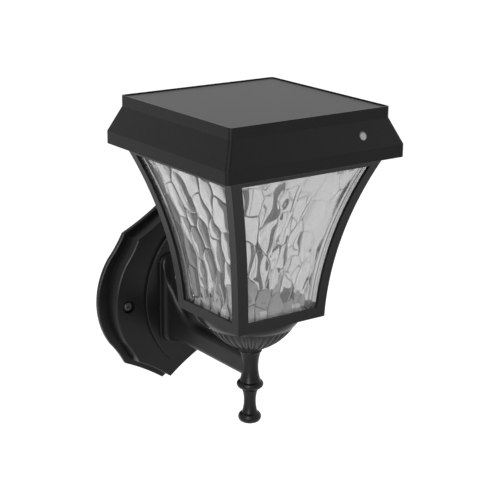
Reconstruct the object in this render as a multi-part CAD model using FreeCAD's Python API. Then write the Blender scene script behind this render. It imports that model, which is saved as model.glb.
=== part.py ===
import FreeCAD, Part

import math
import os

# Solar wall lantern: a flared four-sided lantern with water-glass panes under a square solar
# roof, standing on a fluted bowl at the end of an arm that grows out of a shaped wall plate.
#
# Millimetres, +Z up. The wall is the plane y = 0 and the lantern stands out along -Y.
# The origin is the middle of the wall plate's back face.

V = FreeCAD.Vector
UP = V(0, 0, 1)
ORIGIN = V(0, 0, 0)

# ---------------------------------------------------------------- fits and clearances

slip_gap = 0.2             # between a curved pane and the frame
seat_gap = 0.3             # loose fit of a part in its recess
thread_fit = 0.05          # radial play of a screw in its tapped hole
hole_play = 0.3            # radial play of a screw in a plain hole
button_play = 0.15         # radial play of the button in the roof wall
thread_end_gap = 1.0       # left free at the end of a tapped hole
eps = 1.0                  # overrun of a cutting tool past the face it cuts
head_round_share = 0.45    # rounding of a screw's head as a share of its height

# ---------------------------------------------------------------- main places and heights

lantern_reach = 140.5      # wall to the lantern's axis
column_head_z = -12.0      # where the bowl sits on the column
column_height = 35.8
finial_height = 31.0
bowl_height = 33.3
frame_height = 140.0
gasket_thickness = 1.2
tray_thickness = 2.5
eave_half = 85.6           # half width of the roof at its skirt
slope_run = 9.0            # how far the roof draws in from skirt to lip
cap_wall = 2.5
skirt_gap = 7.0            # between the roof's skirt and the frame's head

column_foot_z = column_head_z - column_height
finial_foot_z = column_foot_z - finial_height
frame_foot_z = column_head_z + bowl_height
frame_head_z = frame_foot_z + frame_height
tray_foot_z = frame_head_z + gasket_thickness
tray_top_z = tray_foot_z + tray_thickness

# ---------------------------------------------------------------- wall plate

plate_half_width = 66.7
plate_tip_height = 83.6
plate_side_x = 54.5        # where the bulging side meets the hollow shoulder curve
plate_side_z = 39.5
plate_shoulder_x = 39.4
plate_shoulder_z = 61.3
shoulder_hollow = 0.8      # how far the curve above the side draws in
tip_hollow = 1.1           # how far the curve from shoulder to tip draws in
flange_thickness = 4.0
plate_depth = 18.0         # wall to the flat front face
block_base_side = 8.5      # how far the raised block stays inside the plate's sides and tips,
block_base_tip = 4.7       # at its base and at its front
block_front_side = 10.6
block_front_tip = 5.5
plate_wall = 3.0
plate_edge_round = 0.8
tier_half_width = 27.2
tier_half_height = 61.0
tier_thickness = 2.5
plate_front_y = -plate_depth
tier_front_y = plate_front_y - tier_thickness

plate_screw_x = 43.6
plate_screw_z = -2.5
plate_screw_radius = 2.5
plate_screw_head_radius = 3.9
plate_screw_head_height = 2.6
plate_screw_end = 2.5      # how far the screws stand out behind the bracket
cross_slot_width = 0.9
cross_slot_length = 4.3
cross_slot_depth = 1.6
plate_screw_recess_radius = 6.0
plate_screw_recess_depth = 4.0
plate_boss_radius = 8.5
recess_floor_y = plate_front_y + plate_screw_recess_depth
plate_boss_back_y = recess_floor_y + plate_wall

# ---------------------------------------------------------------- mounting bracket

bracket_thickness = 1.8
bracket_half_height = 11.0
bracket_flat_half = 32.0   # half length of the part that lies on the wall
bracket_ramp = 5.0
bracket_tab_end = 51.0
wall_slot_x = 22.0
wall_slot_length = 12.0
wall_slot_radius = 2.4

# ---------------------------------------------------------------- arm, column and finial

pad_half_width = 13.5
pad_half_height = 42.0
pad_corner = 10.0
pad_thickness = 1.8
arm_half_width = 6.8
arm_underside_z = -36.5
arm_top_z = -14.5          # top of the arm where it meets the column
arm_corner = 5.5
root_length = 52.0         # how far the flare of the arm's root reaches from the pad
root_steps = 8
arm_rise = 8.0             # rise of the arm's top towards the flare
pad_edge_round = 0.8
arm_screw_z = 21.0
arm_screw_radius = 2.5
arm_screw_head_radius = 4.5
arm_screw_head_height = 3.0
arm_screw_depth = 10.0     # thread in the arm

collar_radius = 9.3
collar_height = 1.9
collar_bulge = 0.5
column_flare_radius = 8.9  # column at both ends of its neck
column_neck_radius = 6.8
ring_radius = 11.3
ring_height = 6.4
ring_shoulder = 1.2        # the ring's upper part, up to the neck, and its step in below
ring_middle = 4.0          # widest part of the ring, above the column's foot
ring_low = 2.0
ring_waist_radius = 6.6    # under the ring, where the finial begins
finial_collar_radius = 6.9
finial_collar_height = 1.3
finial_neck_radius = 5.1
finial_neck_top_radius = 6.4
finial_neck_foot_radius = 6.7
finial_bulb_radius = 9.8
finial_bulb_height = 10.0
finial_bulb_middle = 6.2   # widest part of the bulb, above the finial's foot
finial_bulb_low = 2.4      # where the bulb turns into its rounded foot
finial_bulb_low_radius = 8.3

rod_radius = 3.0
rod_play = 0.3
rod_finial_depth = 16.0    # thread in the finial
washer_radius = 9.0
washer_thickness = 1.2
nut_across_flats = 10.0
nut_height = 5.0
rod_over_nut = 2.5

# ---------------------------------------------------------------- fluted bowl

bowl_rim_radius = 42.0
bowl_rim_height = 1.5
bowl_band_height = 9.0     # from the rim to the head of the flutes
bowl_band_radius = 37.3
bowl_belly_radius = 26.9   # halfway down the fluted part
bowl_belly_drop = 12.5
bowl_band_swell = 0.7      # how far the band swells out of a straight line
bowl_foot_radius = 9.6
bowl_foot_rise = 1.7
bowl_wall = 4.0
belly_lean = V(0.8, 0, 0.5)         # direction of the wall's thickness at the belly
flute_count = 36
flute_share = 0.48         # radius of a flute as a share of the flutes' spacing
flute_depth_share = 0.5    # depth of a flute as a share of its radius
flute_stations = (0.04, 0.34, 0.66, 0.95)   # along the belly, where a flute's section is set

# ---------------------------------------------------------------- flared lantern frame

frame_foot_half = 43.6
frame_waist_half = 52.7    # half width at mid height
frame_head_half = eave_half - cap_wall - skirt_gap
frame_wall = 2.5
frame_edge_round = 0.8
frame_floor = 3.0
frame_flange = 3.0
flange_lip = 2.0           # between the flange's mouth and the heads of the roof's screws
post_width = 9.4
window_sill = 8.6          # from the frame's foot to the window
window_head = 10.1         # from the window to the frame's head
weep_hole_radius = 2.0
weep_hole_place = 28.0
reflector_thickness = 0.8
reflector_corner = 3.0

pane_thickness = 2.5
pane_corner_gap = 0.4
clip_width = 8.0
clip_thickness = 0.8
clip_height = 11.0
clip_foot = 8.0
head_clip_place = 38.0
sill_clip_place = 16.0

floor_top_z = frame_foot_z + frame_floor
reflector_top_z = floor_top_z + reflector_thickness
flange_foot_z = frame_head_z - frame_flange
pane_outer_inset = frame_wall + slip_gap
pane_inner_inset = pane_outer_inset + pane_thickness
pane_side_inset = pane_inner_inset + pane_corner_gap

# ---------------------------------------------------------------- roof cap

skirt_overlap = 2.8        # how far the skirt hangs below the frame's head
skirt_height = 10.5
slope_height = 20.7
lip_height = 9.0
cap_corner = 3.0
cap_rim = 1.2              # rim round the solar panel
cap_deck = 2.5             # deck that carries the solar panel
boss_radius = 4.5
boss_gap = 5.1             # between a boss and the roof's wall at the lip
cap_screw_radius = 2.0
cap_screw_head_radius = 3.5
cap_screw_head_height = 2.6
cap_screw_depth = 14.0     # thread in the cap's bosses

panel_sunk = 1.0           # panel's face below the rim
glass_thickness = 2.0
cell_thickness = 0.4
backsheet_thickness = 0.8
seal_thickness = 0.5
seal_width = 6.0
cell_columns = 6
cell_rows = 2
cell_gap = 1.6
cell_margin = 5.0
lead_hole_radius = 4.0

lip_half = eave_half - slope_run
boss_place = lip_half - cap_wall - boss_radius - boss_gap
flange_mouth_half = boss_place - cap_screw_head_radius - flange_lip
skirt_foot_z = frame_head_z - skirt_overlap
slope_foot_z = skirt_foot_z + skirt_height
lip_foot_z = slope_foot_z + slope_height
roof_top_z = lip_foot_z + lip_height
glass_top_z = roof_top_z - panel_sunk
glass_foot_z = glass_top_z - glass_thickness
cell_foot_z = glass_foot_z - cell_thickness
backsheet_foot_z = cell_foot_z - backsheet_thickness
deck_top_z = backsheet_foot_z - seal_thickness
deck_foot_z = deck_top_z - cap_deck
panel_recess_half = lip_half - cap_rim
panel_half = panel_recess_half - seat_gap
tray_half = eave_half - cap_wall - seat_gap

# ---------------------------------------------------------------- sensor and switch on the slope

sensor_x = 45.5
sensor_lens_radius = 3.65
sensor_lens_rise = 0.8
sensor_lens_crown = 0.6
station_board_depth = 10.0 # roof's outer face to the little boards behind it
station_board_thickness = 1.2
station_board_width = 10.0
station_board_edge = 1.0   # board beyond its posts
station_post_radius = 2.2
station_post_offset = 9.6
station_screw_radius = 1.1
station_screw_head_radius = 2.0
station_screw_head_height = 1.2
station_screw_depth = 5.0
shoulder_thickness = 1.2   # inner shoulder of the lens and of the button
shoulder_width = 1.3
eye_radius = 2.4

button_radius = 5.0
button_rise = 1.6
button_crown = 0.9
button_travel = 0.8
button_stem_radius = 1.5
switch_half = 3.0
switch_height = 3.4
plunger_radius = 1.7
plunger_rise = 1.2
plunger_play = 0.1
plunger_bore_depth = 1.6

# ---------------------------------------------------------------- light unit under the tray

led_board_radius = 24.0
led_board_thickness = 1.6
led_count = 8
led_circle = 13.0
led_half = 1.75
led_height = 0.8
light_screw_radius = 1.3
light_screw_head_radius = 2.4
light_screw_head_height = 1.4
light_screw_count = 3
light_screw_turn = -90.0   # where the first screw stands, seen from above
light_boss_height = 4.5
light_boss_radius = 3.2
light_boss_roof = 1.5      # closed end of a boss over its screw
board_screw_circle = 20.0
diffuser_flange_radius = 36.5
diffuser_dome_radius = 29.0
diffuser_drop = 14.0
diffuser_wall = 1.6
diffuser_flange = 2.0
diffuser_screw_circle = 33.0

# ---------------------------------------------------------------- electronics on the tray

control_y = -22.0
control_length = 62.0
control_width = 34.0
control_thickness = 1.6
standoff_height = 5.0
standoff_radius = 2.8
standoff_inset = 3.6
plug_height = 6.0
plug_width = 5.0
plug_length = 8.0
plug_edge = 5.5            # between a battery plug and the board's edge
coil_radius = 4.0
coil_height = 5.0
coil_x = -18.0
coil_y = -6.0
capacitor_radius = 3.0
capacitor_height = 9.0
capacitor_x = -8.0
capacitor_y = -7.0
chip_length = 9.0
chip_width = 7.0
chip_height = 1.6
chip_x = -6.0
chip_y = 4.0
battery_y = 40.0
battery_radius = 9.2
battery_length = 65.0
pole_radius = 3.2
pole_height = 1.2
pole_root = 0.2            # overlap of pole and can
contact_thickness = 0.5
contact_half = 5.5
spring_length = 3.0
spring_radius = 3.5
spring_tip_radius = 2.1
holder_wall = 2.2
holder_floor = 1.6
holder_height = 13.0
lead_radius = 0.8
lead_spacing = 4.0
panel_lead_x = 14.0
battery_lead_x = 24.0

control_foot_z = tray_top_z + standoff_height
control_top_z = control_foot_z + control_thickness
battery_plug_y = control_y + control_width / 2 - plug_edge
holder_half_width = battery_radius + seat_gap + holder_wall
holder_inner_length = battery_length + 2 * contact_thickness + spring_length
battery_axis_z = tray_top_z + holder_floor + seat_gap + battery_radius


# ================================================================ helpers

def line(a, b):
    """Straight edge between two points."""
    return Part.makeLine(a, b)


def arc(a, b, c):
    """Circular edge from a to c through b."""
    return Part.Arc(a, b, c).toShape()


def rod(radius, z_low, z_high, x=0.0, y=0.0):
    """Upright cylinder between two heights."""
    return Part.makeCylinder(radius, z_high - z_low, V(x, y, z_low))


def rod_to_wall(radius, y_front, y_back, x, z):
    """Cylinder along Y, from the front towards the wall."""
    return Part.makeCylinder(radius, y_back - y_front, V(x, y_front, z), V(0, 1, 0))


def block(x, y, z_low, length, width, height):
    """Box centred on x and y, standing on z_low."""
    return Part.makeBox(length, width, height, V(x - length / 2, y - width / 2, z_low))


def dome(rim_radius, rim_z, pole_z):
    """Arc from a rim to the pole on the Z axis, with its centre on that axis."""
    rise = pole_z - rim_z
    radius = (rim_radius ** 2 + rise ** 2) / (2 * abs(rise))
    half = math.asin(rim_radius / radius) / 2
    middle = V(radius * math.sin(half), 0, pole_z - math.copysign(radius * (1 - math.cos(half)), rise))
    return arc(V(rim_radius, 0, rim_z), middle, V(0, 0, pole_z))


def turned(edges):
    """Solid of revolution about Z from an outline in the XZ plane."""
    return Part.Face(Part.Wire(edges)).revolve(ORIGIN, UP, 360)


def hexagon(across_flats, z_low, height):
    """Upright hexagonal prism."""
    corner = across_flats / math.sqrt(3)
    points = [V(corner * math.cos(math.radians(60 * i)), corner * math.sin(math.radians(60 * i)), z_low)
              for i in range(7)]
    return Part.Face(Part.makePolygon(points)).extrude(V(0, 0, height))


def rounded_square(half, radius, z):
    """Closed wire: a level square with rounded corners."""
    flat = half - radius
    bulge = flat + radius * math.sqrt(0.5)
    edges = []
    for turn in range(4):
        side = line(V(half, -flat, z), V(half, flat, z))
        corner = arc(V(half, flat, z), V(bulge, bulge, z), V(flat, half, z))
        for edge in (side, corner):
            edge.rotate(ORIGIN, UP, 90 * turn)
            edges.append(edge)
    return Part.Wire(edges)


def square_plate(half, radius, z_low, z_high):
    """Level plate with rounded corners."""
    return Part.Face(rounded_square(half, radius, z_low)).extrude(V(0, 0, z_high - z_low))


def upright_rectangle(half_width, z_low, z_high, radius, y):
    """Closed wire: a rectangle with rounded corners in a plane parallel to the wall."""
    left, right = -half_width + radius, half_width - radius
    low, high = z_low + radius, z_high - radius
    reach = radius * math.sqrt(0.5)
    return Part.Wire([
        line(V(left, y, z_low), V(right, y, z_low)),
        arc(V(right, y, z_low), V(right + reach, y, low - reach), V(half_width, y, low)),
        line(V(half_width, y, low), V(half_width, y, high)),
        arc(V(half_width, y, high), V(right + reach, y, high + reach), V(right, y, z_high)),
        line(V(right, y, z_high), V(left, y, z_high)),
        arc(V(left, y, z_high), V(left - reach, y, high + reach), V(-half_width, y, high)),
        line(V(-half_width, y, high), V(-half_width, y, low)),
        arc(V(-half_width, y, low), V(left - reach, y, low - reach), V(left, y, z_low)),
    ])


def copies_round(shape, count, start=0.0):
    """The shape repeated evenly round Z."""
    result = []
    for i in range(count):
        piece = shape.copy()
        piece.rotate(ORIGIN, UP, start + 360.0 * i / count)
        result.append(piece)
    return result


def at_lantern(shape):
    """Moves a shape built round the Z axis to the lantern's axis."""
    moved = shape.copy()
    moved.translate(V(0, -lantern_reach, 0))
    return moved


def screw(radius, head_radius, head_height, length):
    """Pan-head screw: head below z = 0, shank up."""
    head = rod(head_radius, -head_height, 0)
    rim = [edge for edge in head.Edges if edge.BoundBox.ZMax < -head_height / 2]
    head = head.makeFillet(head_height * head_round_share, rim)
    return head.fuse(rod(radius, -head_height / 2, length)).removeSplitter()


# ================================================================ wall plate and bracket

def inward(direction):
    """Left of a direction in the XZ plane: inward on an outline that runs anticlockwise."""
    return V(-direction.z, 0, direction.x)


def plate_outline():
    """Outline of the wall plate as arcs (start, middle, end), anticlockwise from the lower right.

    Bulging sides, sharp shoulders and pointed ends with slightly hollow curves between them.
    """
    right = [V(plate_side_x, 0, -plate_side_z), V(plate_side_x, 0, plate_side_z),
             V(plate_shoulder_x, 0, plate_shoulder_z), V(0, 0, plate_tip_height)]
    left = [V(-p.x, 0, p.z) for p in reversed(right[:-1])]
    lower_left = [V(-p.x, 0, -p.z) for p in right[2:]]
    corners = right + left + lower_left + [V(plate_shoulder_x, 0, -plate_shoulder_z)]
    hollows = [None, shoulder_hollow, tip_hollow, tip_hollow, shoulder_hollow]
    arcs = []
    for i, start in enumerate(corners):
        end = corners[(i + 1) % len(corners)]
        hollow = hollows[i % len(hollows)]
        middle = (start + end) * 0.5
        if hollow is None:
            middle = V(math.copysign(plate_half_width, middle.x), 0, 0)
        else:
            middle = middle + inward((end - start).normalize()) * hollow
        arcs.append((start, middle, end))
    return arcs


def plate_wire(side_inset, tip_inset, y):
    """Closed wire: the plate's outline in the plane y, narrower and lower by the insets."""
    across = 1 - side_inset / plate_half_width
    along = 1 - tip_inset / plate_tip_height
    return Part.Wire([arc(*[V(p.x * across, y, p.z * along) for p in points])
                      for points in plate_outline()])


def raised_block(extra, y_back, y_front, bevel=0.0):
    """Drafted block on the flange, drawn in all round by extra, its front edge bevelled."""
    sections = [plate_wire(block_base_side + extra, block_base_tip + extra, y_back),
                plate_wire(block_front_side + extra, block_front_tip + extra, y_front + bevel)]
    if bevel:
        sections.append(plate_wire(block_front_side + extra + bevel,
                                   block_front_tip + extra + bevel, y_front))
    return Part.makeLoft(sections, True, True)


def tier():
    """Raised pointed oval on the plate's face."""
    top, bottom = V(0, plate_front_y, tier_half_height), V(0, plate_front_y, -tier_half_height)
    wire = Part.Wire([arc(bottom, V(tier_half_width, plate_front_y, 0), top),
                      arc(top, V(-tier_half_width, plate_front_y, 0), bottom)])
    solid = Part.Face(wire).extrude(V(0, -tier_thickness, 0))
    rim = [edge for edge in solid.Edges if edge.BoundBox.YMax < plate_front_y - tier_thickness / 2]
    return solid.makeFillet(plate_edge_round, rim)


def wall_plate():
    """Hollow cast plate with its screw bosses."""
    flange = Part.makeLoft([plate_wire(0, 0, 0), plate_wire(0, 0, plate_edge_round - flange_thickness),
                            plate_wire(plate_edge_round, plate_edge_round, -flange_thickness)],
                           True, True)
    raised = raised_block(0, -flange_thickness / 2, plate_front_y, plate_edge_round)
    plate = flange.fuse([raised, tier()])
    plate = plate.cut(raised_block(plate_wall, eps, plate_front_y + plate_wall))
    for side in (-1, 1):
        x = side * plate_screw_x
        plate = plate.fuse(rod_to_wall(plate_boss_radius, plate_front_y + plate_wall / 2,
                                       plate_boss_back_y, x, plate_screw_z))
        plate = plate.cut(rod_to_wall(plate_screw_recess_radius, plate_front_y - eps, recess_floor_y,
                                      x, plate_screw_z))
        plate = plate.cut(rod_to_wall(plate_screw_radius + hole_play, recess_floor_y - eps,
                                      plate_boss_back_y + eps, x, plate_screw_z))
        plate = plate.cut(rod_to_wall(arm_screw_radius + hole_play, tier_front_y - eps,
                                      plate_front_y + plate_wall + eps, 0, side * arm_screw_z))
    return plate.removeSplitter()


def plate_screws():
    """The two screws seen on the plate, from the recesses into the bracket."""
    length = plate_boss_back_y + bracket_thickness + plate_screw_end - recess_floor_y
    result = []
    for side in (-1, 1):
        piece = screw(plate_screw_radius, plate_screw_head_radius, plate_screw_head_height, length)
        for turn in (45, 135):
            slot = block(0, 0, -plate_screw_head_height - eps, cross_slot_length, cross_slot_width,
                         cross_slot_depth + eps)
            slot.rotate(ORIGIN, UP, turn)
            piece = piece.cut(slot)
        piece.rotate(ORIGIN, V(1, 0, 0), -90)
        piece.translate(V(side * plate_screw_x, recess_floor_y, plate_screw_z))
        result.append(piece)
    return Part.makeCompound(result)


def mounting_bracket():
    """Steel bar that is screwed to the wall; its raised ends take the plate's screws."""
    half, ramp, end = bracket_flat_half, bracket_ramp, bracket_tab_end
    tab = plate_boss_back_y
    t = bracket_thickness
    right = [V(half, 0, 0), V(half + ramp, tab + t, 0), V(end, tab + t, 0), V(end, tab, 0),
             V(half + ramp - t / 2, tab, 0), V(half - t / 2, -t, 0)]
    left = [V(-p.x, p.y, 0) for p in reversed(right)]
    outline = right + left
    bar = Part.Face(Part.makePolygon(outline + [outline[0]])).extrude(V(0, 0, 2 * bracket_half_height))
    bar.translate(V(0, 0, -bracket_half_height))
    for side in (-1, 1):
        bar = bar.cut(rod_to_wall(plate_screw_radius + thread_fit, tab - eps, tab + t + eps,
                                  side * plate_screw_x, plate_screw_z))
        for end_x in (-wall_slot_length / 2, wall_slot_length / 2):
            bar = bar.cut(rod_to_wall(wall_slot_radius, -t - eps, eps, side * wall_slot_x + end_x, 0))
        bar = bar.cut(Part.makeBox(wall_slot_length, t + 2 * eps, 2 * wall_slot_radius,
                                   V(side * wall_slot_x - wall_slot_length / 2, -t - eps,
                                     -wall_slot_radius)))
    return bar


# ================================================================ arm, column and finial

def trumpet():
    """The arm: a tall root that draws down to a level bar, rounded all along."""
    root_y = tier_front_y - pad_thickness
    root_low, root_high = -pad_half_height + pad_edge_round, pad_half_height - pad_edge_round
    root_half = pad_half_width - pad_edge_round
    root_corner = pad_corner - pad_edge_round
    sections = [upright_rectangle(root_half, root_low, root_high, root_corner, root_y + pad_thickness / 2)]
    for step in range(root_steps + 1):
        share = step / root_steps
        fade = (1 - share) ** 3
        half_width = arm_half_width + (root_half - arm_half_width) * fade
        crest = arm_top_z + arm_rise * (1 - share) ** 2
        high = crest + (root_high - arm_top_z - arm_rise) * fade
        low = arm_underside_z + (root_low - arm_underside_z) * (1 - share) ** 5
        radius = arm_corner + (root_corner - arm_corner) * fade
        sections.append(upright_rectangle(half_width, low, high, radius, root_y - root_length * share))
    root = Part.makeLoft(sections, True, False)
    bar = Part.makeLoft([upright_rectangle(arm_half_width, arm_underside_z, arm_top_z, arm_corner, y)
                         for y in (root_y - root_length, -lantern_reach)], True, True)
    return root.fuse(bar)


def column():
    """Turned column under the bowl, with its collar and its ring."""
    top, foot = column_head_z, column_foot_z
    neck_top = top - collar_height
    ring_top = foot + ring_height + ring_shoulder
    ring_edge = ring_radius - ring_shoulder
    middle = (neck_top + ring_top) / 2
    return turned([
        line(V(0, 0, top), V(collar_radius, 0, top)),
        arc(V(collar_radius, 0, top), V(collar_radius + collar_bulge, 0, (top + neck_top) / 2),
            V(column_flare_radius, 0, neck_top)),
        arc(V(column_flare_radius, 0, neck_top), V(column_neck_radius, 0, middle),
            V(column_flare_radius, 0, ring_top)),
        arc(V(column_flare_radius, 0, ring_top), V(ring_radius, 0, foot + ring_middle),
            V(ring_edge, 0, foot + ring_low)),
        line(V(ring_edge, 0, foot + ring_low), V(ring_waist_radius, 0, foot)),
        line(V(ring_waist_radius, 0, foot), V(0, 0, foot)),
        line(V(0, 0, foot), V(0, 0, top)),
    ])


def arm():
    """Arm casting: pad on the plate, flared arm and turned column in one piece."""
    pad = Part.Face(upright_rectangle(pad_half_width, -pad_half_height, pad_half_height, pad_corner,
                                      tier_front_y)).extrude(V(0, -pad_thickness, 0))
    front = [edge for edge in pad.Edges if edge.BoundBox.YMax < tier_front_y - pad_thickness / 2]
    pad = pad.makeFillet(pad_edge_round, front)
    casting = pad.fuse([trumpet(), at_lantern(column())])
    casting = casting.cut(at_lantern(rod(rod_radius + rod_play, column_foot_z - eps, column_head_z + eps)))
    for side in (-1, 1):
        casting = casting.cut(rod_to_wall(arm_screw_radius + thread_fit, tier_front_y - arm_screw_depth,
                                          tier_front_y + eps, 0, side * arm_screw_z))
    return casting.removeSplitter()


def arm_screws():
    """Two screws from inside the plate into the arm."""
    seat_y = plate_front_y + plate_wall
    length = seat_y - tier_front_y + arm_screw_depth - thread_end_gap
    result = []
    for side in (-1, 1):
        piece = screw(arm_screw_radius, arm_screw_head_radius, arm_screw_head_height, length)
        piece.rotate(ORIGIN, V(1, 0, 0), 90)
        piece.translate(V(0, seat_y, side * arm_screw_z))
        result.append(piece)
    return Part.makeCompound(result)


def finial():
    """Turned finial screwed on below the column."""
    top, foot = column_foot_z, finial_foot_z
    neck_top = top - finial_collar_height
    bulb_top = foot + finial_bulb_height
    rim = finial_collar_radius - collar_bulge
    shape = turned([
        line(V(0, 0, top), V(rim, 0, top)),
        arc(V(rim, 0, top), V(finial_collar_radius, 0, (top + neck_top) / 2),
            V(finial_neck_top_radius, 0, neck_top)),
        arc(V(finial_neck_top_radius, 0, neck_top), V(finial_neck_radius, 0, (neck_top + bulb_top) / 2),
            V(finial_neck_foot_radius, 0, bulb_top)),
        arc(V(finial_neck_foot_radius, 0, bulb_top), V(finial_bulb_radius, 0, foot + finial_bulb_middle),
            V(finial_bulb_low_radius, 0, foot + finial_bulb_low)),
        dome(finial_bulb_low_radius, foot + finial_bulb_low, foot),
        line(V(0, 0, foot), V(0, 0, top)),
    ])
    return shape.cut(rod(rod_radius + thread_fit, top - rod_finial_depth, top + eps))


# ================================================================ bowl and tie rod

def bowl_curve(inset=0.0):
    """Edges of the bowl's outer outline from the rim to the foot, drawn in by inset."""
    rim_z = frame_foot_z
    band_z = rim_z - bowl_band_height
    belly_z = band_z - bowl_belly_drop
    foot_z = column_head_z + bowl_foot_rise
    rim = V(bowl_rim_radius - inset, 0, rim_z - bowl_rim_height)
    band = V(bowl_band_radius - inset, 0, band_z)
    swell = inward((rim - band).normalize()) * -bowl_band_swell
    middle = (rim + band) * 0.5 + swell
    belly = V(bowl_belly_radius - inset * belly_lean.x, 0, belly_z + inset * belly_lean.z)
    foot = V(bowl_foot_radius, 0, foot_z + inset)
    return [line(V(rim.x, 0, rim_z), rim), arc(rim, middle, band), arc(band, belly, foot)]


def flute():
    """Tapering curved horn that cuts one flute down the bowl's belly."""
    belly = bowl_curve()[2]
    first, last = belly.FirstParameter, belly.LastParameter
    sections = []
    for share in flute_stations:
        at = first + (last - first) * share
        point = belly.valueAt(at)
        along = belly.tangentAt(at)
        outward = V(-along.z, 0, along.x)
        if outward.x < 0:
            outward = outward * -1
        radius = flute_share * 2 * math.pi * point.x / flute_count
        centre = point + outward * radius * (1 - flute_depth_share)
        sections.append(Part.Wire(Part.Circle(centre, along, radius).toShape()))
    return Part.makeLoft(sections, True, False)


def fluted_bowl():
    """Cast bowl between column and lantern, fluted below a plain band."""
    outer = bowl_curve()
    foot = outer[-1].Vertexes[-1].Point
    shape = turned(outer + [line(foot, V(bowl_foot_radius, 0, column_head_z)),
                            line(V(bowl_foot_radius, 0, column_head_z), V(0, 0, column_head_z)),
                            line(V(0, 0, column_head_z), V(0, 0, frame_foot_z)),
                            line(V(0, 0, frame_foot_z), outer[0].Vertexes[0].Point)])
    inner = bowl_curve(bowl_wall)
    mouth = inner[0].Vertexes[0].Point
    floor = inner[-1].Vertexes[-1].Point
    hollow = turned([line(V(mouth.x, 0, frame_foot_z + eps), mouth)] + inner
                    + [line(floor, V(bowl_foot_radius, 0, frame_foot_z + eps)),
                       line(V(bowl_foot_radius, 0, frame_foot_z + eps), V(mouth.x, 0, frame_foot_z + eps))])
    shape = shape.cut(copies_round(flute(), flute_count))
    shape = shape.cut(hollow)
    return shape.cut(rod(rod_radius + rod_play, column_head_z - eps, frame_foot_z + eps))


def tie_rod():
    """Threaded rod that ties finial, column, bowl and frame together."""
    foot = column_foot_z - rod_finial_depth + thread_end_gap
    return rod(rod_radius, foot, reflector_top_z + washer_thickness + nut_height + rod_over_nut)


def tie_washer():
    foot = reflector_top_z
    ring = rod(washer_radius, foot, foot + washer_thickness)
    return ring.cut(rod(rod_radius + rod_play, foot - eps, foot + washer_thickness + eps))


def tie_nut():
    foot = reflector_top_z + washer_thickness
    body = hexagon(nut_across_flats, foot, nut_height)
    return body.cut(rod(rod_radius + thread_fit, foot - eps, foot + nut_height + eps))


# ================================================================ flared frame and its panes

flare_circle = arc(V(frame_foot_half, 0, frame_foot_z),
                   V(frame_waist_half, 0, frame_foot_z + frame_height / 2),
                   V(frame_head_half, 0, frame_head_z)).Curve


def flare_half(z):
    """Half width of the lantern at a height."""
    centre = flare_circle.Center
    return centre.x - math.sqrt(flare_circle.Radius ** 2 - (z - centre.z) ** 2)


def flare_edge(side, inset, z_low, z_high):
    """One flaring edge in the XZ plane, drawn in by inset."""
    points = [V(side * (flare_half(z) - inset), 0, z) for z in (z_low, (z_low + z_high) / 2, z_high)]
    return arc(*points)


def flared_face(inset, z_low, z_high):
    """Face in the XZ plane between the two flaring edges."""
    right, left = flare_edge(1, inset, z_low, z_high), flare_edge(-1, inset, z_low, z_high)
    low, high = flare_half(z_low) - inset, flare_half(z_high) - inset
    top = line(V(high, 0, z_high), V(-high, 0, z_high))
    bottom = line(V(-low, 0, z_low), V(low, 0, z_low))
    return Part.Face(Part.Wire([right, top, left, bottom]))


def flared_prism(inset, z_low, z_high, half_depth):
    """The flared face extruded along Y, both ways from the axis."""
    face = flared_face(inset, z_low, z_high)
    face.translate(V(0, -half_depth, 0))
    return face.extrude(V(0, 2 * half_depth, 0))


def quarter_turned(shape):
    turned_shape = shape.copy()
    turned_shape.rotate(ORIGIN, UP, 90)
    return turned_shape


def flared_block(inset, z_low, z_high):
    """Solid of square section whose four sides follow the flare."""
    prism = flared_prism(inset, z_low, z_high, frame_head_half + eps)
    return prism.common(quarter_turned(prism))


def weep_holes():
    """Cutters for the drain holes in the floor and in the sheet on it."""
    return copies_round(rod(weep_hole_radius, frame_foot_z - eps, reflector_top_z + eps,
                            weep_hole_place, weep_hole_place), 4)


def lantern_frame():
    """One casting: four curved posts, sill, floor and the flange that carries the roof."""
    body = flared_block(0, frame_foot_z, frame_head_z)
    posts = [edge for edge in body.Edges if edge.BoundBox.ZLength > frame_height / 2]
    body = body.makeFillet(frame_edge_round, posts)
    body = body.cut(flared_block(frame_wall, floor_top_z, flange_foot_z))
    body = body.cut(square_plate(flange_mouth_half, cap_corner, flange_foot_z - eps, frame_head_z + eps))
    window = flared_prism(post_width, frame_foot_z + window_sill, frame_head_z - window_head,
                          frame_head_half + eps)
    body = body.cut([window, quarter_turned(window)])
    body = body.cut(rod(rod_radius + rod_play, frame_foot_z - eps, floor_top_z + eps))
    screw_hole = rod(cap_screw_radius + hole_play, flange_foot_z - eps, frame_head_z + eps,
                     boss_place, boss_place)
    return body.cut(copies_round(screw_hole, 4) + weep_holes())


def floor_reflector():
    """White sheet on the frame's floor, between the panes, that throws the light back."""
    half = flare_half(floor_top_z) - pane_inner_inset - slip_gap
    sheet = block(0, 0, floor_top_z, 2 * half, 2 * half, reflector_thickness)
    corners = [edge for edge in sheet.Edges if edge.BoundBox.ZLength > reflector_thickness / 2]
    sheet = sheet.makeFillet(reflector_corner, corners)
    rod_hole = rod(rod_radius + rod_play, floor_top_z - eps, reflector_top_z + eps)
    return sheet.cut([rod_hole] + weep_holes())


def front_slab(inset, thickness, z_low, z_high, half_length):
    """Curved sheet that follows the front face, half_length to each side."""
    outer = flare_edge(1, inset, z_low, z_high)
    inner = flare_edge(1, inset + thickness, z_low, z_high)
    foot = line(inner.Vertexes[0].Point, outer.Vertexes[0].Point)
    head = line(outer.Vertexes[-1].Point, inner.Vertexes[-1].Point)
    sheet = Part.Face(Part.Wire([outer, head, inner, foot]))
    sheet.translate(V(0, -half_length, 0))
    sheet = sheet.extrude(V(0, 2 * half_length, 0))
    sheet.rotate(ORIGIN, UP, -90)
    return sheet


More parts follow.
